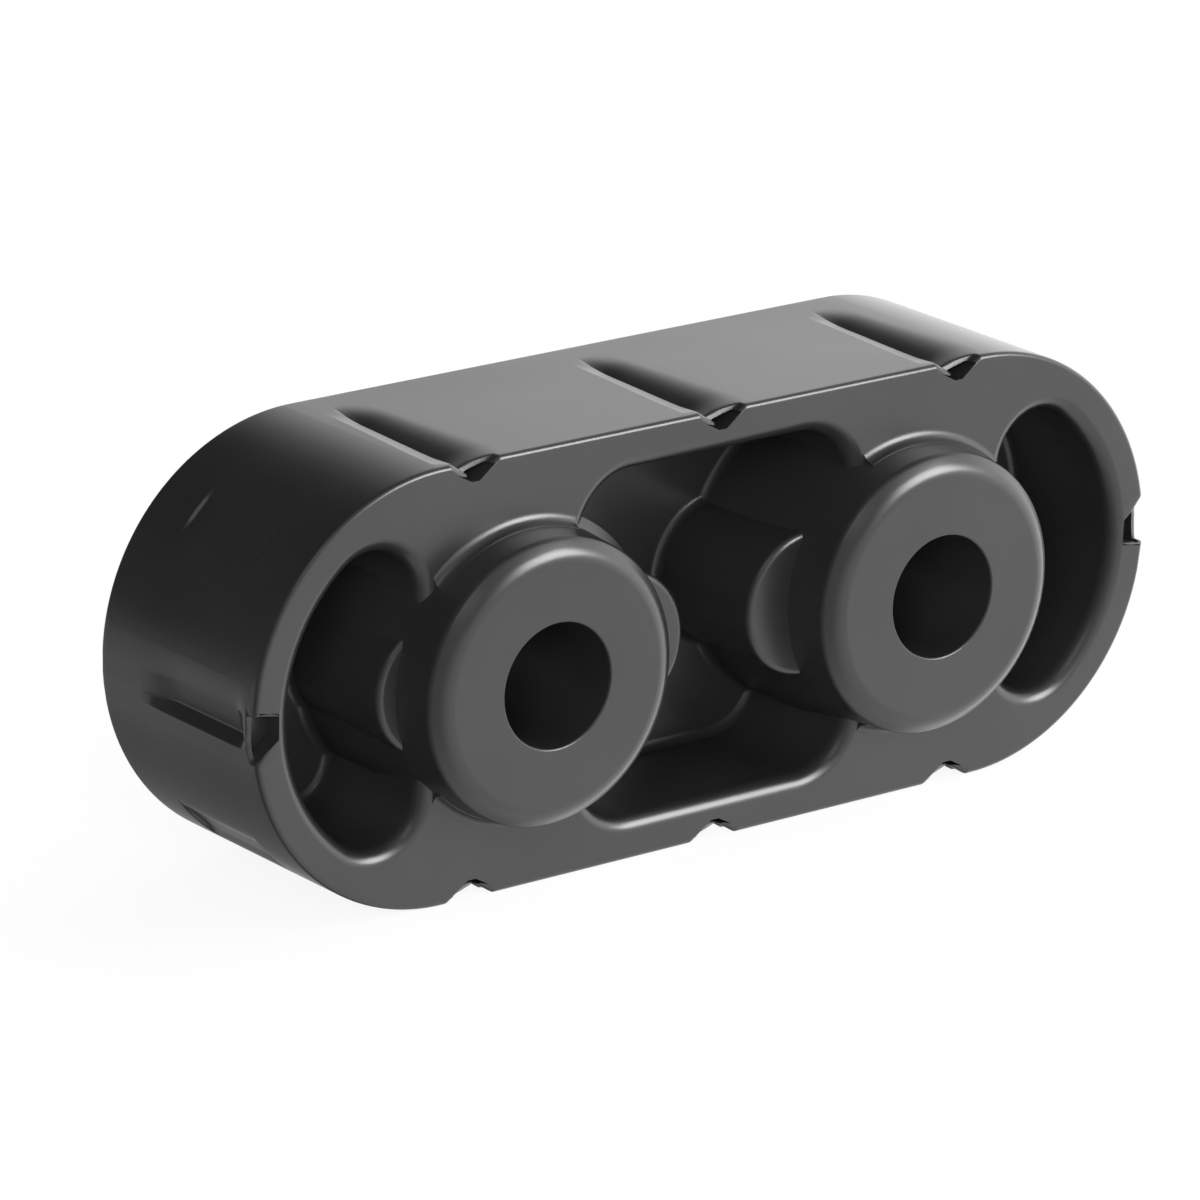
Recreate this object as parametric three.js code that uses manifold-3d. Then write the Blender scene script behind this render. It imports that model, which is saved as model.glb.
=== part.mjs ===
// Exhaust hanger rubber: one moulded block of rubber with two bored hubs, held in an oblong outer band.
// Millimetres. The section is drawn in local x (along the part) and y (up), and local z points out of the
// front face, which lies at z = 0. The mesh is then turned so that +Z is up and the front faces -Y.
import * as THREE from 'three';
import { mergeVertices } from 'three/addons/utils/BufferGeometryUtils.js';
import Module from 'manifold-3d';

// Outer band
const BODY_LENGTH = 95;
const BODY_HEIGHT = 38;
const BODY_DEPTH = 22.4;
const BODY_EDGE = 0.5; // rounding of the outer edges, front and back
const BAND_WALL = 3.3;

// Hubs
const HUB_SPACING = 41;
const HUB_DIAMETER = 25.4;
const HUB_RISE = 4.8; // each hub stands this far out of the front and back faces
const HUB_TAPER = 0.4; // loss of radius from the face of the body to the end of the hub
const HUB_RIM = 1.2; // rounding of the end of the hub
const HUB_FOOT = 0.6; // fillet between the hub and the face of the body
const HUB_LEDGE = 0.9; // inside the pockets the hub is larger than its end by this much all round
const BORE_DIAMETER = 10.8;
const BORE_EDGE = 0.25;

// Arms above and below each hub, measured along the part from the hub's axis
const ARM_INWARD = 6.1;
const ARM_OUTWARD = 10.5;

// Openings: blind pockets, front and back, with a web between them
const FRONT_POCKET_DEPTH = 13.1;
const WEB_THICKNESS = 2.6;
const CENTRE_POCKET_CORNER = 4.6;
const END_POCKET_CORNER = 4;
const POCKET_LIP = 0.6; // rounding of the mouth
const POCKET_FILLET = 0.8; // fillet round the web

// Bump pads on the sides of the hubs
const CENTRE_PAD_RADIUS = 6.6;
const CENTRE_PAD_REACH = 4.55; // how far the pad stands out of the side of the hub
const END_PAD_RADIUS = 5.9;
const END_PAD_REACH = 1.8;
const PAD_SET_BACK = 0.8; // below the faces of the body
const PAD_RIM = 1;

// Grooves across the outside of the band, each with a wider notch at the front face
const GROOVE_INSET = 2.9; // from the ends of the band's straight stretch to the outer grooves
const GROOVE_LENGTH = 17.5; // from the front face
const GROOVE_WIDTH = 4;
const GROOVE_DEPTH = 0.9;
const GROOVE_FLOOR = 1.3;
const GROOVE_SHIFT = 1.6; // from the groove's middle line to its sharp edge
const GROOVE_LEAN = 0.35; // slope of the steep side
const GROOVE_RUN_OUT = 1.2; // its floor climbs out over this length
const GROOVE_EXIT = 0.2; // and ends this far above the band
const NOTCH_WIDTH = 6;
const NOTCH_DEPTH = 2.15;
const NOTCH_FLOOR = 2;
const NOTCH_LIP = 1.5;
const NOTCH_LENGTH = 1; // straight part, behind which its floor climbs to the groove
const NOTCH_CLIMB = 1.1;

// Two shallow blank panels pressed into the left end, above and below its middle
const PANEL_WIDTH = 10.7;
const PANEL_ARC = 11.5; // degrees
const PANEL_ANGLE = 45.8; // degrees from the middle of the end
const PANEL_DEPTH = 0.3;

// Facets, in degrees for arcs, and the cutting allowance
const BAND_FACET = 9;
const POCKET_FACET = 15;
const FILLET_FACET = 45;
const HUB_RIM_FACET = 22.5;
const PAD_RIM_FACET = 30;
const NOTCH_FACET = 22.5;
const PANEL_FACET = 4;
const GROOVE_FACETS = 4;
const EDGE_FACETS = 2;
const HUB_SIDES = 36;
const PAD_SIDES = 24;
const BORE_SIDES = 28;
const CLEAR = 2; // how far a cutter stands out of the rubber
const SAME_POINT = 1e-4; // points closer than this are one

const bandRadius = BODY_HEIGHT / 2;
const endCentre = BODY_LENGTH / 2 - bandRadius;
const pocketRadius = bandRadius - BAND_WALL;
const hubRadius = HUB_DIAMETER / 2;
const hubCentre = HUB_SPACING / 2;
const backPocketDepth = BODY_DEPTH - FRONT_POCKET_DEPTH - WEB_THICKNESS;

const wasm = await Module();
wasm.setup();

// Turns a closed three.js geometry into a solid.
function solid(geometry) {
  geometry.deleteAttribute('normal');
  geometry.deleteAttribute('uv');
  const merged = mergeVertices(geometry, SAME_POINT);
  return new wasm.Manifold(new wasm.Mesh({
    numProp: 3,
    vertProperties: new Float32Array(merged.attributes.position.array),
    triVerts: new Uint32Array(merged.index.array),
  }));
}

function join(solids) {
  return solids.reduce((whole, piece) => whole.add(piece));
}

// Turns a solid back into a three.js geometry.
function geometryOf(whole) {
  const mesh = whole.getMesh();
  const geometry = new THREE.BufferGeometry();
  geometry.setAttribute('position', new THREE.BufferAttribute(new Float32Array(mesh.vertProperties), 3));
  geometry.setIndex(new THREE.BufferAttribute(new Uint32Array(mesh.triVerts), 1));
  geometry.computeVertexNormals();
  return geometry;
}

// Points along an arc, angles in degrees, one point at each facet.
function arc(x, y, radius, from, to, facet) {
  const start = THREE.MathUtils.degToRad(from);
  const end = THREE.MathUtils.degToRad(to);
  const curve = new THREE.EllipseCurve(x, y, radius, radius, start, end, to < from);
  return curve.getPoints(Math.max(2, Math.ceil(Math.abs(to - from) / facet)));
}

// Extrudes an outline along z from one level to another. The bevel lies within the length, and its
// inset says how much smaller the outline is at each end.
function prism(outline, from, to, bevel = { length: 0, inset: 0, steps: 1 }) {
  const geometry = new THREE.ExtrudeGeometry(new THREE.Shape(outline), {
    depth: to - from - 2 * bevel.length,
    bevelEnabled: bevel.length > 0,
    bevelThickness: bevel.length,
    bevelSize: bevel.inset,
    bevelOffset: -bevel.inset,
    bevelSegments: bevel.steps,
  });
  geometry.translate(0, 0, from + bevel.length);
  return solid(geometry);
}

// Extrudes an outline along z and reshapes its far end about the origin: narrower, shallower or lifted.
function ramp(outline, from, to, end) {
  const geometry = new THREE.ExtrudeGeometry(new THREE.Shape(outline), {
    depth: to - from,
    bevelEnabled: false,
  });
  const position = geometry.attributes.position;
  for (let i = 0; i < position.count; i += 1) {
    if (position.getZ(i) < (to - from) / 2) {
      position.setXY(i, position.getX(i) * end.width, position.getY(i) * end.depth + end.lift);
    }
  }
  geometry.translate(0, 0, from);
  return solid(geometry);
}

// Turns a profile of (radius, z) points round an axis parallel to z.
function turned(profile, sides, x) {
  const geometry = new THREE.LatheGeometry(profile, sides);
  geometry.rotateX(Math.PI / 2);
  geometry.translate(x, 0, 0);
  return solid(geometry);
}

function point(radius, z) {
  return new THREE.Vector2(radius, z);
}

// The same profile run from front to back, for the far side of the part.
function mirrored(profile) {
  return profile.map((p) => point(p.x, -BODY_DEPTH - p.y)).reverse();
}

// Outline of the band: straight top and bottom with round ends.
function bandOutline() {
  return [
    ...arc(endCentre, 0, bandRadius, -90, 90, BAND_FACET),
    ...arc(-endCentre, 0, bandRadius, 90, 270, BAND_FACET),
  ];
}

// Fillet at the foot of a column that stands on the web.
function columnFoot(radius, pocketDepth) {
  return arc(radius + POCKET_FILLET, -pocketDepth + POCKET_FILLET, POCKET_FILLET, 270, 180, FILLET_FACET);
}

// Profile of a hub from the web to the middle of its front end, with the ledge level with the face.
function hubHalf(pocketDepth) {
  const end = hubRadius - HUB_TAPER;
  return [
    ...columnFoot(hubRadius + HUB_LEDGE, pocketDepth),
    point(hubRadius + HUB_LEDGE, 0),
    ...arc(hubRadius + HUB_FOOT, HUB_FOOT, HUB_FOOT, 270, 180, FILLET_FACET),
    ...arc(end - HUB_RIM, HUB_RISE - HUB_RIM, HUB_RIM, 0, 90, HUB_RIM_FACET),
    point(0, HUB_RISE),
  ];
}

// Profile of a pad from the web to the middle of its front end.
function padHalf(radius, pocketDepth) {
  return [
    ...columnFoot(radius, pocketDepth),
    ...arc(radius - PAD_RIM, -PAD_SET_BACK - PAD_RIM, PAD_RIM, 0, 90, PAD_RIM_FACET),
    point(0, -PAD_SET_BACK),
  ];
}

function hub(x) {
  return turned([...mirrored(hubHalf(backPocketDepth)), ...hubHalf(FRONT_POCKET_DEPTH)], HUB_SIDES, x);
}

function pad(x, radius) {
  const back = mirrored(padHalf(radius, backPocketDepth));
  return turned([...back, ...padHalf(radius, FRONT_POCKET_DEPTH)], PAD_SIDES, x);
}

// Both pads of one hub: a deep one toward the middle of the part and a low one toward its end.
function hubPads(side) {
  const inner = hubCentre - hubRadius - CENTRE_PAD_REACH + CENTRE_PAD_RADIUS;
  const outer = hubCentre + hubRadius + END_PAD_REACH - END_PAD_RADIUS;
  return pad(side * inner, CENTRE_PAD_RADIUS).add(pad(side * outer, END_PAD_RADIUS));
}

// Cutter for a bore with bevelled ends.
function bore(x) {
  const radius = BORE_DIAMETER / 2;
  const half = [
    point(radius, HUB_RISE - BORE_EDGE),
    point(radius + BORE_EDGE + CLEAR, HUB_RISE + CLEAR),
    point(0, HUB_RISE + CLEAR),
  ];
  return turned([...mirrored(half), ...half], BORE_SIDES, x);
}

// Outline of the central pocket before the hubs take their share: a rectangle with round corners.
function centrePocketOutline() {
  const x = hubCentre - ARM_INWARD - CENTRE_POCKET_CORNER;
  const y = pocketRadius - CENTRE_POCKET_CORNER;
  const corner = (sx, sy, from) => arc(sx * x, sy * y, CENTRE_POCKET_CORNER, from, from + 90, POCKET_FACET);
  return [...corner(1, 1, 0), ...corner(-1, 1, 90), ...corner(-1, -1, 180), ...corner(1, -1, 270)];
}

// Outline of an end pocket: the arc of the band's inside, closed by an upright line with round corners.
function endPocketOutline(side) {
  const line = hubCentre + ARM_OUTWARD;
  const cornerX = line + END_POCKET_CORNER;
  const cornerY = Math.sqrt((pocketRadius - END_POCKET_CORNER) ** 2 - (cornerX - endCentre) ** 2);
  const meet = THREE.MathUtils.radToDeg(Math.atan2(cornerY, cornerX - endCentre));
  const right = [
    ...arc(cornerX, -cornerY, END_POCKET_CORNER, 180, 360 - meet, POCKET_FACET),
    ...arc(endCentre, 0, pocketRadius, -meet, meet, BAND_FACET).slice(1, -1),
    ...arc(cornerX, cornerY, END_POCKET_CORNER, meet, 180, POCKET_FACET),
  ];
  return side > 0 ? right : right.map((p) => new THREE.Vector2(-p.x, p.y)).reverse();
}

// Cutter for one blind pocket: a prism with a filleted floor and a rounded mouth. The mouth is two
// slopes that follow the round, one steep and one flat.
function blindPocket(outline, depth) {
  const fillet = { length: POCKET_FILLET, inset: POCKET_FILLET, steps: EDGE_FACETS };
  const hollow = prism(outline, -depth, CLEAR, fillet);
  const bend = POCKET_LIP * (Math.SQRT2 - 1);
  const steep = mouth(outline, POCKET_LIP, bend);
  const flat = mouth(outline, bend, POCKET_LIP);
  return join([hollow, steep, flat]);
}

// Flared mouth: as large as the outline at its depth, and larger by its spread at the face.
function mouth(outline, depth, spread) {
  const geometry = new THREE.ExtrudeGeometry(new THREE.Shape(outline), {
    depth: CLEAR / 2,
    bevelThickness: depth,
    bevelSize: spread,
    bevelSegments: 1,
  });
  return solid(geometry);
}

// The front and back pockets of one opening.
function pockets(outline) {
  const front = blindPocket(outline, FRONT_POCKET_DEPTH);
  const back = blindPocket(outline, backPocketDepth).mirror([0, 0, 1]).translate([0, 0, -BODY_DEPTH]);
  return front.add(back);
}

// Section of a groove, with the outside of the band at y = 0: a steep side on the left, a short floor,
// and a long soft slope on the right.
function grooveOutline() {
  const shape = new THREE.Shape();
  const mouthEnd = GROOVE_WIDTH - GROOVE_SHIFT;
  const floorStart = -GROOVE_SHIFT + GROOVE_LEAN;
  const floorEnd = floorStart + GROOVE_FLOOR;
  shape.moveTo(-GROOVE_SHIFT, CLEAR);
  shape.lineTo(-GROOVE_SHIFT, 0);
  shape.lineTo(floorStart, -GROOVE_DEPTH);
  shape.lineTo(floorEnd, -GROOVE_DEPTH);
  shape.quadraticCurveTo((floorEnd + mouthEnd) / 2, 0, mouthEnd, 0);
  shape.lineTo(mouthEnd, CLEAR);
  return shape.getPoints(GROOVE_FACETS);
}

// Section of the notch at the front face: a slanted left side, a floor and a rounded right lip.
function notchOutline() {
  const half = NOTCH_WIDTH / 2;
  return [
    new THREE.Vector2(-half, CLEAR),
    new THREE.Vector2(-half, 0),
    new THREE.Vector2(-NOTCH_FLOOR / 2, -NOTCH_DEPTH),
    new THREE.Vector2(NOTCH_FLOOR / 2, -NOTCH_DEPTH),
    ...arc(half, -NOTCH_LIP, NOTCH_LIP, 180, 90, NOTCH_FACET),
    new THREE.Vector2(half, CLEAR),
  ];
}

// One groove with its notch, cut at the top of the band above x = 0.
function groove() {
  const rampTop = -GROOVE_LENGTH + GROOVE_RUN_OUT;
  const gone = { width: 1, depth: 1, lift: GROOVE_DEPTH + GROOVE_EXIT };
  const climbed = { width: GROOVE_WIDTH / NOTCH_WIDTH, depth: GROOVE_DEPTH / NOTCH_DEPTH, lift: 0 };
  const pieces = [
    prism(grooveOutline(), rampTop, CLEAR),
    ramp(grooveOutline(), -GROOVE_LENGTH, rampTop, gone),
    prism(notchOutline(), -NOTCH_LENGTH, CLEAR),
    ramp(notchOutline(), -NOTCH_LENGTH - NOTCH_CLIMB, -NOTCH_LENGTH, climbed),
  ];
  return join(pieces).translate([0, bandRadius, 0]);
}

// Grooves round the band: three on the top, three on the bottom and one on each end.
function grooves() {
  const one = groove();
  const cuts = [];
  const outermost = endCentre - GROOVE_INSET;
  for (const x of [-outermost, 0, outermost]) {
    cuts.push(one.translate([x, 0, 0]));
    cuts.push(one.rotate([0, 0, 180]).translate([x, 0, 0]));
  }
  cuts.push(one.rotate([0, 0, 90]).translate([-endCentre, 0, 0]));
  cuts.push(one.rotate([0, 0, -90]).translate([endCentre, 0, 0]));
  return join(cuts);
}

// Cutter for one blank panel on the left end, half way between the front and back faces.
function endPanel(angle) {
  const from = 180 - angle - PANEL_ARC / 2;
  const to = 180 - angle + PANEL_ARC / 2;
  const outline = [
    ...arc(-endCentre, 0, bandRadius + CLEAR, from, to, PANEL_FACET),
    ...arc(-endCentre, 0, bandRadius - PANEL_DEPTH, to, from, PANEL_FACET),
  ];
  return prism(outline, (-BODY_DEPTH - PANEL_WIDTH) / 2, (-BODY_DEPTH + PANEL_WIDTH) / 2);
}

// The whole part. The bores are cut last, through the hubs that are added to the hollowed block.
function hangerSolid() {
  const edge = { length: BODY_EDGE, inset: BODY_EDGE, steps: EDGE_FACETS };
  const block = prism(bandOutline(), -BODY_DEPTH, 0, edge);
  const columns = join([hub(-hubCentre), hub(hubCentre), hubPads(-1), hubPads(1)]);
  const hollows = join([
    pockets(centrePocketOutline()),
    pockets(endPocketOutline(-1)),
    pockets(endPocketOutline(1)),
  ]);
  const outside = join([grooves(), endPanel(PANEL_ANGLE), endPanel(-PANEL_ANGLE)]);
  const bores = bore(-hubCentre).add(bore(hubCentre));
  return block.subtract(hollows).add(columns).subtract(outside).subtract(bores);
}

const rubber = new THREE.MeshStandardMaterial({ color: 0x2b2b2c, roughness: 0.5, metalness: 0 });

const hanger = new THREE.Mesh(geometryOf(hangerSolid()), rubber);
hanger.name = 'hanger_rubber';
hanger.rotation.x = Math.PI / 2;
hanger.position.set(0, -BODY_DEPTH / 2, BODY_HEIGHT / 2);

const group = new THREE.Group();
group.add(hanger);

export default group;
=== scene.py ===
import math

import bpy
import numpy as np
from mathutils import Matrix, Vector

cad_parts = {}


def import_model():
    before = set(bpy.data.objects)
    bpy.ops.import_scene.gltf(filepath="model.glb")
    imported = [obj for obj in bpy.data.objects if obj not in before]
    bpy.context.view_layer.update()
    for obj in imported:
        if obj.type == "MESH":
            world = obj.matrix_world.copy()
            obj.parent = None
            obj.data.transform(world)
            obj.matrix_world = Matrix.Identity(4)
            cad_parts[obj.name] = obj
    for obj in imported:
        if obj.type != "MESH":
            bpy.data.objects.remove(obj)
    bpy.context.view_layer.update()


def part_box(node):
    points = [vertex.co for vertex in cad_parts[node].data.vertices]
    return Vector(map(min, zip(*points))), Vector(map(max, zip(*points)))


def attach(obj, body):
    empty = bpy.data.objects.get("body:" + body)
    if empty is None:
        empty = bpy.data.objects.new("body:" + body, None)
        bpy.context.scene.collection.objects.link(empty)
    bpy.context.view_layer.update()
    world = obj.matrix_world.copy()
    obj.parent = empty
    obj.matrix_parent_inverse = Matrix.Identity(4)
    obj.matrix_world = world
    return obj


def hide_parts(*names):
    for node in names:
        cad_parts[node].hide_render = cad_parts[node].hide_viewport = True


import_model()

# The exhaust hanger rubber as one fine mesh. Its shape is worked out in millimetres, in a drawing frame:
# x along the part, y up and z out of the front face, which lies at z = 0. The origin is at the middle of
# the front face.
MM = 0.001
NODE = "hanger_rubber"

# Hubs
HUB_SPACING = 41.0
HUB_RADIUS = 12.7
HUB_RISE = 4.8
HUB_RIM = ((12.42, 3.7, 0.8), (11.15, HUB_RISE, 2.0))  # radius, z and rounding of its two corners
HUB_FOOT = 1.0
BORE_RADIUS = 5.4
BORE_EDGE = 0.25

# Ledge round a hub in the pockets. It drops little on the hub's right side and far on its left.
HUB_LEDGE = 0.9
HUB_LEDGE_DROP = 0.75
HUB_TAPER_DROP = 6.0
LEDGE_HALF_ANGLE = 68  # degrees from the hub's right in which it drops little
LEDGE_FADE = 22  # degrees over which it changes to the far drop

# Outer band, as the frame has it
NODE_LOW, NODE_HIGH = (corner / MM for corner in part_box(NODE))
LENGTH, DEPTH_OVER_HUBS, HEIGHT = NODE_HIGH - NODE_LOW
DEPTH = DEPTH_OVER_HUBS - 2 * HUB_RISE
BODY_EDGE = 0.45
BAND_WALL = 3.7
FACE_RING_INSET = 2.9  # of a ring of points on the faces, clear of the notches
BAND_RADIUS = HEIGHT / 2
END_CENTRE = LENGTH / 2 - BAND_RADIUS
HUB_CENTRE = HUB_SPACING / 2

# Places along the band's outline, clockwise seen from the front, from the middle of its top
HALF_ROUND = math.pi * BAND_RADIUS
OUTLINE_LENGTH = 4 * END_CENTRE + 2 * HALF_ROUND
RIGHT_END = END_CENTRE + HALF_ROUND / 2
UNDERSIDE = END_CENTRE + HALF_ROUND
LEFT_END = UNDERSIDE + 2 * END_CENTRE + HALF_ROUND / 2

# Pockets, front and back, with a web between them
FRONT_POCKET_DEPTH = 13.1
WEB_THICKNESS = 2.6
BACK_POCKET_DEPTH = DEPTH - FRONT_POCKET_DEPTH - WEB_THICKNESS
POCKET_RADIUS = BAND_RADIUS - BAND_WALL
CENTRE_POCKET_HALF = HUB_CENTRE - 6.1
CENTRE_POCKET_CORNER = 5.4
END_POCKET_LINE = HUB_CENTRE + 10.5
END_POCKET_CORNER = 4.4
POCKET_LIP = 1.4
POCKET_FILLET = 0.8

# Bump pads: distance of the axis from the middle of the part, radius
CENTRE_PAD = (9.85, 6.4)
END_PAD = (29.1, 5.9)
PAD_SET_BACK = 0.4
PAD_RIM = 0.6

# Grooves across the band. A section is a rounded polyline of (place along the band, depth, radius).
GROOVE_INSET = 2.9  # of the outer grooves from the ends of the flat top
GROOVE_HALF_ZONE = 3.6
GROOVE_SECTION = ((-3.4, 0.0, 0.4), (-1.6, 0.42, 0.15), (-1.25, 1.35, 0.25), (1.45, 0.0, 7.8))
END_GROOVE_SECTION = ((-2.0, 0.0, 0.25), (-1.15, 0.95, 0.15), (-0.95, 0.95, 0.4), (2.2, 0.0, 9.0))
NOTCH_SECTION = ((-2.3, 0.0, 0.6), (-0.3, 1.3, 0.4), (0.4, 1.3, 0.4), (2.5, 0.0, 0.8))
END_NOTCH_SECTION = ((-3.0, 0.0, 0.6), (-1.0, 2.0, 0.4), (0.8, 2.05, 0.3), (1.15, 0.0, 0.3))
NOTCH_LENGTH = 0.85
NOTCH_CLIMB = 0.5
GROOVE_LENGTH = 19.0
GROOVE_RUN_OUT = 5.0
GROOVE_NARROWING = 0.3  # share of the width that is lost towards the back
GROOVE_RISE = 0.35  # share of the depth that is lost towards the back
GROOVE_LIP_RISE = 0.38  # share of the depth that is missing just behind the notch
GROOVE_LIP_LENGTH = 3.5
HOLE_SECTION = ((-1.75, 0.95), (-0.35, 1.72), (0.45, 1.72), (2.1, 0.5), (1.5, 0.5), (-0.9, 1.2))
END_HOLE_SECTION = ((-2.55, 0.6), (-1.1, 2.42), (0.9, 2.46), (1.25, 0.6), (0.8, 0.5), (-1.9, 0.5))
HOLE_END = 2.4  # depth from the front face
END_HOLE_END = 1.9
END_GROOVE_START = 1.3
END_GROOVE_START_RUN = 1.8
END_GROOVE_LENGTH = 17.5
END_GROOVE_RUN_OUT = 4.5
END_GROOVE_SLANT = 2.6  # how much sooner the groove ends on one side than on the other

# Two shallow blank panels in the left end
PANEL_ANGLE = math.radians(45.8)
PANEL_HALF_ARC = math.radians(5.75)
PANEL_WIDTH = 10.7
PANEL_DEPTH = 0.32
PANEL_WALL = 0.42
PANEL_SOFT_WALL = 2.0

# Rows of points across the band's skin: (first depth, last depth, number of rows)
BAND_ROWS = (
    (BODY_EDGE, NOTCH_LENGTH, 2),
    (NOTCH_LENGTH, NOTCH_LENGTH + NOTCH_CLIMB, 9),
    (NOTCH_LENGTH + NOTCH_CLIMB, 4.2, 9),
    (5.0, 10.2, 5),
    (10.8, END_GROOVE_LENGTH, 14),
    (16.5, DEPTH - BODY_EDGE, 12),
)
PANEL_EDGE_ROWS = 7

# Fineness
ARC_STEP = math.radians(2.0)
CORNER_ARC_STEP = 2 * ARC_STEP
HUB_SIDES = 180
PAD_SIDES = 120
BORE_SIDES = 128
CORNER_STEPS = 6
ROUND_STEPS = 7
CLEAR = 1.2  # how far a cutter stands out of the rubber
OFF_PLANE = 0.01  # keeps a cutter's surface off the plane that it meets
SHARP_ANGLE = math.radians(38)
NORMAL_WEIGHT = 100  # how strongly large faces set the shading of their corners

# Rubber: greys and roughness at the two ends of their range, sizes and depths of the noises
RUBBER_IOR = 1.55
RUBBER_DARK = (0.018, 0.018, 0.019, 1)
RUBBER_PALE = (0.036, 0.036, 0.037, 1)
RUBBER_ROUGHNESS = (0.276, 0.32)  # below 0.274 the denoiser leaves faint lines where it varies
NOISE_RANGE = (0.1, 0.9)
NOISE_ROUGHNESS = 0.5
MOTTLE_SIZE = 14
SMEAR_SIZE = 9
SMEAR_STRETCH = (0.35, 1, 1)
WAVE_SIZE = 12
WAVE_DEPTH = 0.03
GRAIN_SIZE = 0.9
GRAIN_DEPTH = 0.0025

# The world's light. Each value is a soft step along one direction: (from, to, light before, light after).
RIGHT_X = (0.15, 0.9, 0.07, 2.35)
RIGHT_Z = (0.3, 0.8, 1.0, 0.45)
FRONT_X = (-1.0, 0.1, 0.2, 1.3)
FRONT_Y = (-0.4, 0.4, 1.0, 0.0)
FRONT_Z = (-0.1, 0.45, 1.0, 0.3)
WINDOW_X = (-0.35, -0.15, 1.0, 0.0)
WINDOW_Y = (-0.5, -0.35, 1.0, 0.0)
WINDOW_Z = (0.45, 0.6, 0.0, 1.4)
TABLE_Z = (-0.62, -0.4, 0.28, 0.65)
TABLE_END_Z = (-0.17, 0.0, 1.0, 0.0)
TABLE_Y = (0.2, 0.6, 0.0, 1.0)

# Lights: direction from the part, distance and size in metres, power in watts
KEY = ((0.48, -0.68, 0.47), 0.9, 0.46, 10)
FILL = ((-0.577, -0.755, 0.31), 0.9, 0.5, 3.6)

# Floor: half its size in metres, its grey, and the white glow that the camera sees mixed into it
FLOOR_HALF = 1.2
FLOOR_GREY = (0.8, 0.8, 0.8, 1)
FLOOR_GLOW = 1.2
FLOOR_GLOW_SHARE = 0.75

# Camera: its angles in degrees, the point that it looks at and its distance. The focal length and the
# principal point are in pixels of the photograph.
CAMERA_YAW = 37.374
CAMERA_PITCH = 18.094
CAMERA_ROLL = 0.755
CAMERA_TARGET = (-13.692, -DEPTH / 2, 5.974 + BAND_RADIUS)
CAMERA_DISTANCE = 608.829
PHOTO_SIZE = 1200
FOCAL_LENGTH = 7348.308
PRINCIPAL_POINT = (590.22, 587.41)
SENSOR_WIDTH = 36
NEAREST_SEEN = 0.01  # in metres


def to_row(points):
    """Points of the drawing frame in the row's frame, in metres."""
    points = np.asarray(points, float)
    row = np.stack([points[:, 0], -points[:, 2] - DEPTH / 2, points[:, 1] + BAND_RADIUS], axis=1)
    return row * MM


def mesh_object(name, points, faces):
    mesh = bpy.data.meshes.new(name)
    mesh.from_pydata(to_row(points).tolist(), [], faces)
    mesh.update()
    piece = bpy.data.objects.new(name, mesh)
    bpy.context.scene.collection.objects.link(piece)
    return piece


def grid_faces(rows, columns):
    """Quads of a grid that closes on itself along its columns."""
    faces = []
    for row in range(rows - 1):
        for column in range(columns):
            after = (column + 1) % columns
            low = row * columns
            high = low + columns
            faces.append((low + column, low + after, high + after, high + column))
    return faces


def closed_stack(name, rings):
    """A closed body from rings of equal length, anticlockwise seen from the front, back ring first."""
    columns = len(rings[0])
    faces = grid_faces(len(rings), columns)
    last = (len(rings) - 1) * columns
    faces.append(tuple(reversed(range(columns))))
    faces.append(tuple(range(last, last + columns)))
    return mesh_object(name, np.concatenate(rings), faces)


def arc(centre, radius, start, end, step=ARC_STEP):
    """Rows of x, y and the outward normal along an arc, without its last point."""
    count = max(2, math.ceil(abs(end - start) / step))
    angle = start + (end - start) * np.arange(count) / count
    normal = np.stack([np.cos(angle), np.sin(angle)], axis=1)
    return np.concatenate([np.array(centre) + radius * normal, normal], axis=1)


def quarter(radius, start, end):
    """Points of (radius, z) along a quarter round, both ends included."""
    angle = np.linspace(start, end, ROUND_STEPS + 1)
    return radius * np.stack([np.cos(angle), np.sin(angle)], axis=1)


def smooth(value):
    """A soft step from 0 to 1."""
    value = np.clip(value, 0, 1)
    return value * value * (3 - 2 * value)


def rounded(corners, start, end):
    """Points along a polyline from start to end whose corners, each with its radius, are rounded."""
    line = [np.array(point[:2]) for point in (start, *corners, end)]
    points = [line[0]]
    for before, corner, after, (_, _, radius) in zip(line, line[1:], line[2:], corners):
        back = (before - corner) / np.linalg.norm(before - corner)
        ahead = (after - corner) / np.linalg.norm(after - corner)
        turn = math.pi - math.acos(np.clip(back @ ahead, -1, 1))
        reach = radius * math.tan(turn / 2)
        first = corner + back * reach
        last = corner + ahead * reach
        for t in np.linspace(0, 1, CORNER_STEPS + 1):
            bend = (1 - t) ** 2 * first + 2 * t * (1 - t) * corner + t ** 2 * last
            points.append(bend)
    return np.array([*points, line[-1]])


def turned(name, x, profile, sides):
    """A body turned from (radius, z) points, back to front. A z may be a row of values, one a side."""
    angle = np.arange(sides) / sides * 2 * math.pi
    rings = []
    for radius, z in profile:
        ring = [x + radius * np.cos(angle), radius * np.sin(angle), np.zeros(sides) + z]
        rings.append(np.stack(ring, axis=1))
    return closed_stack(name, rings)


def mirrored(profile):
    """The same profile on the far side of the part, back to front."""
    return [(radius, -DEPTH - z) for radius, z in reversed(profile)]


def foot(radius, pocket_depth):
    """Fillet at the foot of a column that stands on the web."""
    centre = np.array([radius + POCKET_FILLET, -pocket_depth + POCKET_FILLET])
    return list(centre + quarter(POCKET_FILLET, 1.5 * math.pi, math.pi))


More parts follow.
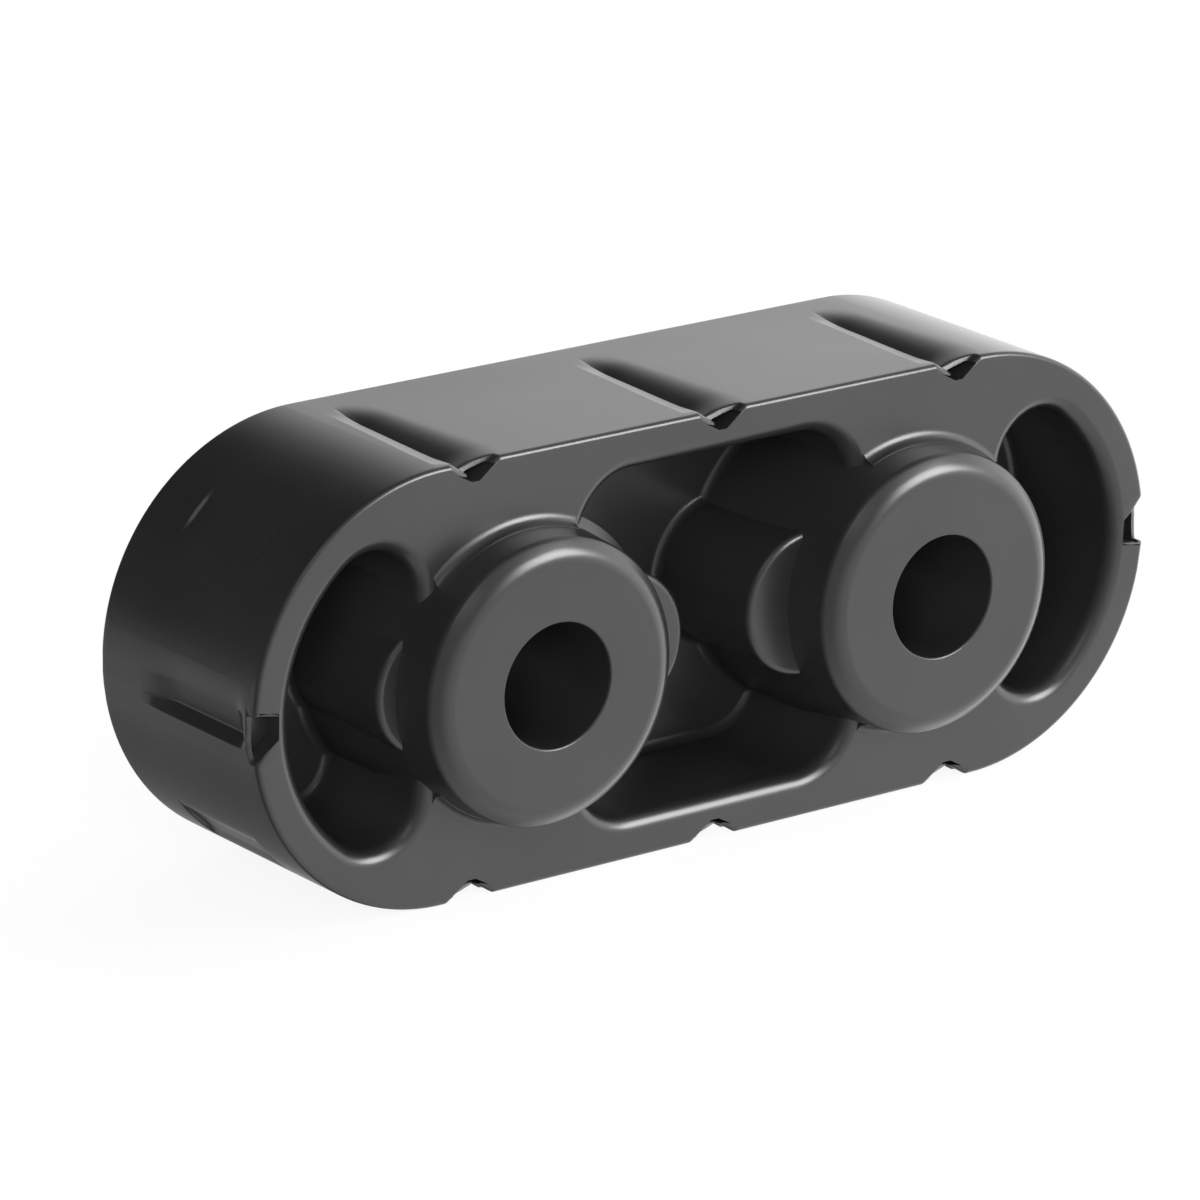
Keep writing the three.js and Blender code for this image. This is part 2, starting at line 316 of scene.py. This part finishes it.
def ledge_drop(pocket_depth):
    """Depth of the ledge's outer edge round a hub: shallow on its right, a long taper on its left."""
    away = np.arange(HUB_SIDES) / HUB_SIDES * 360
    away = np.minimum(away, 360 - away)
    taper = min(HUB_TAPER_DROP, pocket_depth / 2)
    return HUB_LEDGE_DROP + (taper - HUB_LEDGE_DROP) * smooth((away - LEDGE_HALF_ANGLE) / LEDGE_FADE)


def hub_profile(pocket_depth):
    """Half of a hub: its foot on the web, a slanted ledge in the pockets, its side and its soft rim."""
    wide = HUB_RADIUS + HUB_LEDGE
    return [
        *foot(wide, pocket_depth),
        (wide, -ledge_drop(pocket_depth)),
        *rounded(HUB_RIM, (HUB_RADIUS, OFF_PLANE), (BORE_RADIUS / 2, HUB_RISE)),
    ]


def hub_foot(x):
    """Rounded foot of a hub on the face, front and back."""
    centre = np.array([HUB_RADIUS + HUB_FOOT, HUB_FOOT - OFF_PLANE])
    half = [*(centre + quarter(HUB_FOOT, 1.5 * math.pi, math.pi)), (HUB_RADIUS / 2, HUB_FOOT)]
    return turned("hub_foot", x, mirrored(half) + half, HUB_SIDES)


def pad_profile(radius, pocket_depth):
    rim = np.array([radius - PAD_RIM, -PAD_SET_BACK - PAD_RIM])
    return [
        *foot(radius, pocket_depth),
        *(rim + quarter(PAD_RIM, 0, math.pi / 2)),
        (radius / 2, -PAD_SET_BACK),
    ]


def hub(x):
    profile = mirrored(hub_profile(BACK_POCKET_DEPTH)) + hub_profile(FRONT_POCKET_DEPTH)
    return turned("hub", x, profile, HUB_SIDES)


def pad(x, radius):
    profile = mirrored(pad_profile(radius, BACK_POCKET_DEPTH)) + pad_profile(radius, FRONT_POCKET_DEPTH)
    return turned("pad", x, profile, PAD_SIDES)


def bore(x):
    """Cutter for a bore with a small round at each end."""
    round_centre = np.array([BORE_RADIUS + BORE_EDGE, HUB_RISE - BORE_EDGE + OFF_PLANE])
    mouth = round_centre + quarter(BORE_EDGE, math.pi, math.pi / 2)
    half = [*mouth, (BORE_RADIUS + BORE_EDGE, HUB_RISE + CLEAR)]
    return turned("bore", x, mirrored(half) + half, BORE_SIDES)


def centre_pocket_outline():
    x = CENTRE_POCKET_HALF - CENTRE_POCKET_CORNER
    y = POCKET_RADIUS - CENTRE_POCKET_CORNER
    corners = []
    for turn, (sx, sy) in enumerate(((1, 1), (-1, 1), (-1, -1), (1, -1))):
        start = turn * math.pi / 2
        finish = start + math.pi / 2
        centre = np.array([sx * x, sy * y])
        stretch = arc(centre, CENTRE_POCKET_CORNER, start, finish, CORNER_ARC_STEP)
        normal = np.array([math.cos(finish), math.sin(finish)])
        end = np.concatenate([centre + CENTRE_POCKET_CORNER * normal, normal])
        corners += [stretch, end[None]]
    return np.concatenate(corners)


def end_pocket_outline(side):
    """Crescent: the inside arc of the band, closed by an upright line with round corners."""
    corner_x = END_POCKET_LINE + END_POCKET_CORNER
    corner_y = math.sqrt((POCKET_RADIUS - END_POCKET_CORNER) ** 2 - (corner_x - END_CENTRE) ** 2)
    meet = math.atan2(corner_y, corner_x - END_CENTRE)
    line = np.array([[END_POCKET_LINE, corner_y, -1.0, 0.0]])
    outline = np.concatenate([
        arc((corner_x, -corner_y), END_POCKET_CORNER, math.pi, 2 * math.pi - meet, CORNER_ARC_STEP),
        arc((END_CENTRE, 0), POCKET_RADIUS, -meet, meet),
        arc((corner_x, corner_y), END_POCKET_CORNER, meet, math.pi, CORNER_ARC_STEP),
        line,
    ])
    if side > 0:
        return outline
    return (outline * [-1, 1, -1, 1])[::-1]


def pocket(outline, depth, front):
    """Cutter for a blind pocket, with a filleted floor and a rounded mouth."""
    floor = [(z + POCKET_FILLET - depth, r - POCKET_FILLET)
             for r, z in quarter(POCKET_FILLET, -math.pi / 2, 0)]
    mouth = [(z - POCKET_LIP + OFF_PLANE, POCKET_LIP + r)
             for r, z in quarter(POCKET_LIP, math.pi, math.pi / 2)]
    levels = [*floor, *mouth, (CLEAR, POCKET_LIP)]
    if not front:
        levels = [(-DEPTH - z, offset) for z, offset in reversed(levels)]
    rings = []
    for z, offset in levels:
        flat = outline[:, :2] + offset * outline[:, 2:]
        rings.append(np.column_stack([flat, np.full(len(flat), z)]))
    return closed_stack("pocket", rings)


class Groove:
    """A groove across the band at one place on its outline."""

    def __init__(self, place, on_end=False):
        self.place = place
        self.on_end = on_end

    def section(self, y):
        """Places along the outline and depths of the groove at depth y from the front face."""
        flat = (-GROOVE_HALF_ZONE, 0.0), (GROOVE_HALF_ZONE, 0.0)
        groove = rounded(END_GROOVE_SECTION if self.on_end else GROOVE_SECTION, *flat)
        notch = rounded(END_NOTCH_SECTION if self.on_end else NOTCH_SECTION, *flat)
        if self.on_end:
            along = (groove[:, 0] + GROOVE_HALF_ZONE) / (2 * GROOVE_HALF_ZONE)
            end = END_GROOVE_LENGTH - END_GROOVE_SLANT * along
            groove[:, 1] *= smooth((y - END_GROOVE_START) / END_GROOVE_START_RUN)
            groove[:, 1] *= 1 - smooth((y - end) / END_GROOVE_RUN_OUT + 1)
        else:
            back = smooth(y / GROOVE_LENGTH)
            lip = 1 - smooth((y - NOTCH_LENGTH) / GROOVE_LIP_LENGTH)
            groove[1:-1, 0] *= 1 - GROOVE_NARROWING * back
            groove[:, 1] *= 1 - GROOVE_RISE * back - GROOVE_LIP_RISE * lip
            groove[:, 1] *= 1 - smooth((y - GROOVE_LENGTH) / GROOVE_RUN_OUT + 1)
        return groove + (notch - groove) * (1 - smooth((y - NOTCH_LENGTH) / NOTCH_CLIMB))


def on_outline(place):
    """Points and outward normals of the band's outline at places along it."""
    place = np.mod(place, OUTLINE_LENGTH)
    edges = np.cumsum([END_CENTRE, HALF_ROUND, 2 * END_CENTRE, HALF_ROUND, END_CENTRE])
    points = np.zeros((len(place), 2))
    normals = np.zeros((len(place), 2))
    for index, distance in enumerate(place):
        if distance < edges[0]:
            point, normal = (distance, BAND_RADIUS), (0, 1)
        elif distance < edges[1]:
            angle = math.pi / 2 - (distance - edges[0]) / BAND_RADIUS
            normal = (math.cos(angle), math.sin(angle))
            point = (END_CENTRE + BAND_RADIUS * normal[0], BAND_RADIUS * normal[1])
        elif distance < edges[2]:
            point, normal = (END_CENTRE - (distance - edges[1]), -BAND_RADIUS), (0, -1)
        elif distance < edges[3]:
            angle = -math.pi / 2 - (distance - edges[2]) / BAND_RADIUS
            normal = (math.cos(angle), math.sin(angle))
            point = (-END_CENTRE + BAND_RADIUS * normal[0], BAND_RADIUS * normal[1])
        else:
            point, normal = (distance - edges[4], BAND_RADIUS), (0, 1)
        points[index] = point
        normals[index] = normal
    return points, normals


def band_grooves():
    """Grooves in their order along the outline."""
    outermost = END_CENTRE - GROOVE_INSET
    return [
        Groove(0.0),
        Groove(outermost),
        Groove(RIGHT_END, on_end=True),
        Groove(UNDERSIDE + END_CENTRE - outermost),
        Groove(UNDERSIDE + END_CENTRE),
        Groove(UNDERSIDE + END_CENTRE + outermost),
        Groove(LEFT_END, on_end=True),
        Groove(OUTLINE_LENGTH - outermost),
    ]


def panel_depth(place, y):
    """Depth of the panels' recess at places along the outline, at depth y from the front face."""
    half = PANEL_HALF_ARC * BAND_RADIUS
    half_way = OUTLINE_LENGTH / 2
    inside_y = smooth((PANEL_WIDTH / 2 - abs(y - DEPTH / 2)) / PANEL_WALL + 0.5)
    depth = np.zeros(len(place))
    for side in (-1, 1):
        middle = LEFT_END + side * PANEL_ANGLE * BAND_RADIUS
        away = abs(np.mod(place - middle + half_way, OUTLINE_LENGTH) - half_way)
        depth += smooth((half - away) / PANEL_SOFT_WALL + 0.5)
    return depth * inside_y * PANEL_DEPTH


def band_levels():
    """Depths from the front face at which the band's skin has a row of points."""
    levels = [y for start, end, count in BAND_ROWS for y in np.linspace(start, end, count)]
    for side in (-1, 1):
        edge = DEPTH / 2 + side * PANEL_WIDTH / 2
        levels = [y for y in levels if abs(y - edge) > PANEL_WALL]
        levels += list(np.linspace(edge - PANEL_WALL / 2, edge + PANEL_WALL / 2, PANEL_EDGE_ROWS))
    return np.unique(np.round(levels, 4))


def skin_places(y, grooves):
    """Places along the outline of a row's points, and how deep the grooves are there."""
    step = ARC_STEP * BAND_RADIUS
    places = []
    depths = []
    for index, groove in enumerate(grooves):
        section = groove.section(y)
        after = grooves[(index + 1) % len(grooves)].place
        if after <= groove.place:
            after += OUTLINE_LENGTH
        between = np.arange(groove.place + GROOVE_HALF_ZONE, after - GROOVE_HALF_ZONE, step)[1:]
        places += [groove.place + section[:, 0], between]
        depths += [section[:, 1], np.zeros(len(between))]
    return np.concatenate(places), np.concatenate(depths)


def band_ring(y, grooves):
    """One row of the band's skin: points in the drawing plane, clockwise seen from the front."""
    place, depth = skin_places(y, grooves)
    points, normals = on_outline(place)
    return points - normals * (depth + panel_depth(place, y))[:, None]


def plain_ring(grooves):
    """A ring of as many points as the band's rows, inside the grooves and notches."""
    place, _ = skin_places(BODY_EDGE, grooves)
    points, normals = on_outline(place)
    return points - normals * FACE_RING_INSET


def inward(points, distance):
    """The ring moved into the rubber by a distance, along its own normals."""
    ahead = np.roll(points, -1, axis=0) - points
    behind = points - np.roll(points, 1, axis=0)
    ahead /= np.linalg.norm(ahead, axis=1)[:, None]
    behind /= np.linalg.norm(behind, axis=1)[:, None]
    along = ahead + behind
    along /= np.linalg.norm(along, axis=1)[:, None]
    normal = np.stack([along[:, 1], -along[:, 0]], axis=1)
    return points + normal * distance


def band():
    """The hanger's block before it is hollowed: a skin of rows with rounded edges, front and back."""
    grooves = band_grooves()
    inner = plain_ring(grooves)
    rows = [(0, inner)]
    rounds = [(BODY_EDGE - z, BODY_EDGE - r) for r, z in quarter(BODY_EDGE, math.pi / 2, 0)]
    first = band_ring(BODY_EDGE, grooves)
    last = band_ring(DEPTH - BODY_EDGE, grooves)
    for y, offset in rounds[:-1]:
        rows.append((y, inward(first, offset)))
    for y in band_levels():
        rows.append((y, band_ring(y, grooves)))
    for y, offset in reversed(rounds[:-1]):
        rows.append((DEPTH - y, inward(last, offset)))
    rows.append((DEPTH, inner))
    rings = [np.column_stack([ring, np.full(len(ring), -y)])[::-1] for y, ring in reversed(rows)]
    return closed_stack("band", rings)


def notch_hole(groove):
    """Cutter for the small blind hole under a groove's floor, at the back of its notch."""
    points, normals = on_outline(np.array([groove.place]))
    along = np.array([normals[0, 1], -normals[0, 0]])
    section, end = (END_HOLE_SECTION, END_HOLE_END) if groove.on_end else (HOLE_SECTION, HOLE_END)
    rings = []
    for y in (end, -CLEAR):
        flat = [points[0] + u * along - depth * normals[0] for u, depth in section]
        rings.append(np.column_stack([flat, np.full(len(flat), -y)]))
    return closed_stack("notch_hole", rings)


def combine(piece, tools, operation):
    """Joins or cuts the piece with each tool in turn, and deletes the tools."""
    for tool in tools:
        modifier = piece.modifiers.new(operation, "BOOLEAN")
        modifier.operation = operation
        modifier.solver = "MANIFOLD"
        modifier.object = tool
        bpy.context.view_layer.update()
        evaluated = piece.evaluated_get(bpy.context.evaluated_depsgraph_get())
        result = bpy.data.meshes.new_from_object(evaluated)
        piece.modifiers.clear()
        piece.data = result
        bpy.data.objects.remove(tool)


def hanger():
    piece = band()
    combine(piece, [hub_foot(-HUB_CENTRE), hub_foot(HUB_CENTRE)], "UNION")
    outlines = [centre_pocket_outline(), end_pocket_outline(-1), end_pocket_outline(1)]
    for outline in outlines:
        tools = [pocket(outline, FRONT_POCKET_DEPTH, True), pocket(outline, BACK_POCKET_DEPTH, False)]
        combine(piece, tools, "DIFFERENCE")
    pads = [pad(side * x, radius) for side in (-1, 1) for x, radius in (CENTRE_PAD, END_PAD)]
    combine(piece, [hub(-HUB_CENTRE), hub(HUB_CENTRE), *pads], "UNION")
    holes = [notch_hole(groove) for groove in band_grooves()]
    combine(piece, [bore(-HUB_CENTRE), bore(HUB_CENTRE), *holes], "DIFFERENCE")
    return piece


def shade(piece):
    """Smooth shading that keeps the sharp corners and the flat faces."""
    mesh = piece.data
    mesh.shade_smooth()
    mesh.set_sharp_from_angle(angle=SHARP_ANGLE)
    weighted = piece.modifiers.new("weighted", "WEIGHTED_NORMAL")
    weighted.mode = "FACE_AREA_WITH_ANGLE"
    weighted.weight = NORMAL_WEIGHT
    weighted.keep_sharp = True


def rubber_material():
    """Satin black rubber: faint mottling in colour and gloss, slight waves and a fine moulded grain."""
    material = bpy.data.materials.new("moulded_rubber")
    material.use_nodes = True
    nodes, links = material.node_tree.nodes, material.node_tree.links
    surface = nodes["Principled BSDF"]
    surface.inputs["IOR"].default_value = RUBBER_IOR
    place = nodes.new("ShaderNodeTexCoord")

    def noise(size, detail, stretch=(1, 1, 1)):
        """Noise whose features are about as large as size, in millimetres."""
        scale = nodes.new("ShaderNodeMapping")
        scale.inputs["Scale"].default_value = stretch
        links.new(place.outputs["Object"], scale.inputs["Vector"])
        texture = nodes.new("ShaderNodeTexNoise")
        texture.inputs["Scale"].default_value = 1 / (size * MM)
        texture.inputs["Detail"].default_value = detail
        texture.inputs["Roughness"].default_value = NOISE_ROUGHNESS
        links.new(scale.outputs["Vector"], texture.inputs["Vector"])
        return texture.outputs["Fac"]

    def ranged(value, low, high):
        """A noise's range spread between low and high."""
        spread = nodes.new("ShaderNodeMapRange")
        spread.inputs["From Min"].default_value = NOISE_RANGE[0]
        spread.inputs["From Max"].default_value = NOISE_RANGE[1]
        spread.inputs["To Min"].default_value = low
        spread.inputs["To Max"].default_value = high
        links.new(value, spread.inputs["Value"])
        return spread.outputs["Result"]

    def bump(height, depth, under=None):
        """A bump of a depth in millimetres, on top of another."""
        node = nodes.new("ShaderNodeBump")
        node.inputs["Strength"].default_value = 1.0
        node.inputs["Distance"].default_value = depth * MM
        links.new(height, node.inputs["Height"])
        if under:
            links.new(under, node.inputs["Normal"])
        return node.outputs["Normal"]

    # On a colour Mix node, sockets 6 and 7 are its two colours and output 2 is the mixed one
    black = nodes.new("ShaderNodeMix")
    black.data_type = "RGBA"
    links.new(ranged(noise(MOTTLE_SIZE, 2), 0, 1), black.inputs["Factor"])
    black.inputs[6].default_value = RUBBER_DARK
    black.inputs[7].default_value = RUBBER_PALE
    links.new(black.outputs[2], surface.inputs["Base Color"])

    smear = noise(SMEAR_SIZE, 2, SMEAR_STRETCH)
    links.new(ranged(smear, *RUBBER_ROUGHNESS), surface.inputs["Roughness"])

    waves = bump(noise(WAVE_SIZE, 0), WAVE_DEPTH)
    grain = bump(noise(GRAIN_SIZE, 1), GRAIN_DEPTH, waves)
    links.new(grain, surface.inputs["Normal"])
    return material


def area_light(name, direction, distance, size, power):
    """A square soft light that faces the part from a direction."""
    data = bpy.data.lights.new(name, "AREA")
    data.shape = "SQUARE"
    data.size = size
    data.energy = power
    light = bpy.data.objects.new(name, data)
    towards = Vector(direction).normalized()
    light.location = Vector((0, 0, BAND_RADIUS * MM)) + towards * distance
    light.rotation_euler = towards.to_track_quat("Z", "Y").to_euler()
    light.visible_camera = False
    bpy.context.scene.collection.objects.link(light)
    return light


def world():
    """Light from the right and the front, dark at the left, a pale table. The camera sees white."""
    studio = bpy.data.worlds.new("studio")
    bpy.context.scene.world = studio
    studio.use_nodes = True
    nodes, links = studio.node_tree.nodes, studio.node_tree.links
    nodes.clear()
    place = nodes.new("ShaderNodeTexCoord")
    parts = nodes.new("ShaderNodeSeparateXYZ")
    links.new(place.outputs["Generated"], parts.inputs[0])

    def soft_step(direction, start, end, before, after):
        """Light that changes softly along a direction."""
        step = nodes.new("ShaderNodeMapRange")
        step.interpolation_type = "SMOOTHSTEP"
        step.inputs["From Min"].default_value = start
        step.inputs["From Max"].default_value = end
        step.inputs["To Min"].default_value = before
        step.inputs["To Max"].default_value = after
        links.new(parts.outputs[direction], step.inputs["Value"])
        return step.outputs["Result"]

    def math_node(operation, first, *others):
        """One value from several, two at a time."""
        for other in others:
            node = nodes.new("ShaderNodeMath")
            node.operation = operation
            links.new(first, node.inputs[0])
            links.new(other, node.inputs[1])
            first = node.outputs[0]
        return first

    right = math_node("MULTIPLY", soft_step("X", *RIGHT_X), soft_step("Z", *RIGHT_Z))
    front = math_node(
        "MULTIPLY", soft_step("X", *FRONT_X), soft_step("Y", *FRONT_Y), soft_step("Z", *FRONT_Z))
    window = math_node(
        "MULTIPLY", soft_step("Y", *WINDOW_Y), soft_step("X", *WINDOW_X), soft_step("Z", *WINDOW_Z))
    table = math_node(
        "MULTIPLY", soft_step("Z", *TABLE_Z), soft_step("Z", *TABLE_END_Z), soft_step("Y", *TABLE_Y))
    light = math_node("MAXIMUM", right, front, window, table)

    # On a number Mix node, socket 0 is the share and sockets 2 and 3 are its two numbers
    path = nodes.new("ShaderNodeLightPath")
    seen = nodes.new("ShaderNodeMix")
    seen.data_type = "FLOAT"
    links.new(path.outputs["Is Camera Ray"], seen.inputs[0])
    links.new(light, seen.inputs[2])
    seen.inputs[3].default_value = 1.0
    background = nodes.new("ShaderNodeBackground")
    background.inputs["Color"].default_value = (1, 1, 1, 1)
    links.new(seen.outputs[0], background.inputs["Strength"])
    output = nodes.new("ShaderNodeOutputWorld")
    links.new(background.outputs[0], output.inputs["Surface"])


def floor():
    """A plain pale floor that keeps a light shadow."""
    half = FLOOR_HALF
    points = [(-half, -half, 0), (half, -half, 0), (half, half, 0), (-half, half, 0)]
    mesh = bpy.data.meshes.new("floor")
    mesh.from_pydata(points, [], [(0, 1, 2, 3)])
    piece = bpy.data.objects.new("floor", mesh)
    bpy.context.scene.collection.objects.link(piece)
    piece.visible_glossy = False
    material = bpy.data.materials.new("pale_floor")
    material.use_nodes = True
    nodes, links = material.node_tree.nodes, material.node_tree.links
    nodes.clear()
    diffuse = nodes.new("ShaderNodeBsdfDiffuse")
    diffuse.inputs["Color"].default_value = FLOOR_GREY
    white = nodes.new("ShaderNodeEmission")
    white.inputs["Strength"].default_value = FLOOR_GLOW
    path = nodes.new("ShaderNodeLightPath")
    share = nodes.new("ShaderNodeMath")
    share.operation = "MULTIPLY"
    share.inputs[1].default_value = FLOOR_GLOW_SHARE
    links.new(path.outputs["Is Camera Ray"], share.inputs[0])
    mix = nodes.new("ShaderNodeMixShader")
    links.new(share.outputs[0], mix.inputs[0])
    links.new(diffuse.outputs[0], mix.inputs[1])
    links.new(white.outputs[0], mix.inputs[2])
    output = nodes.new("ShaderNodeOutputMaterial")
    links.new(mix.outputs[0], output.inputs["Surface"])
    mesh.materials.append(material)


def camera():
    """The camera at the photograph's angle, with a small shift for its framing."""
    yaw, pitch, roll = (math.radians(angle) for angle in (CAMERA_YAW, CAMERA_PITCH, CAMERA_ROLL))
    target = Vector(CAMERA_TARGET) * MM
    distance = CAMERA_DISTANCE * MM
    forward = Vector((math.sin(yaw) * math.cos(pitch), math.cos(yaw) * math.cos(pitch), -math.sin(pitch)))
    level = Vector((math.cos(yaw), -math.sin(yaw), 0))
    upright = level.cross(forward)
    right = math.cos(roll) * level + math.sin(roll) * upright
    up = math.cos(roll) * upright - math.sin(roll) * level
    data = bpy.data.cameras.new("camera")
    data.sensor_width = SENSOR_WIDTH
    data.lens = FOCAL_LENGTH / PHOTO_SIZE * SENSOR_WIDTH
    data.shift_x = 0.5 - PRINCIPAL_POINT[0] / PHOTO_SIZE
    data.shift_y = PRINCIPAL_POINT[1] / PHOTO_SIZE - 0.5
    data.clip_start = NEAREST_SEEN
    camera_object = bpy.data.objects.new("camera", data)
    turn = Matrix((right, up, -forward)).transposed().to_4x4()
    camera_object.matrix_world = Matrix.Translation(target - forward * distance) @ turn
    bpy.context.scene.collection.objects.link(camera_object)
    bpy.context.scene.camera = camera_object


piece = hanger()
piece.name = "moulded_hanger"
piece.data.materials.clear()
piece.data.materials.append(rubber_material())
shade(piece)
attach(piece, "root")
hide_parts(NODE)

floor()
world()
key = area_light("key", *KEY)
key.visible_diffuse = False
fill = area_light("fill", *FILL)
fill.visible_glossy = False
camera()
bpy.context.scene.view_settings.view_transform = "Standard"
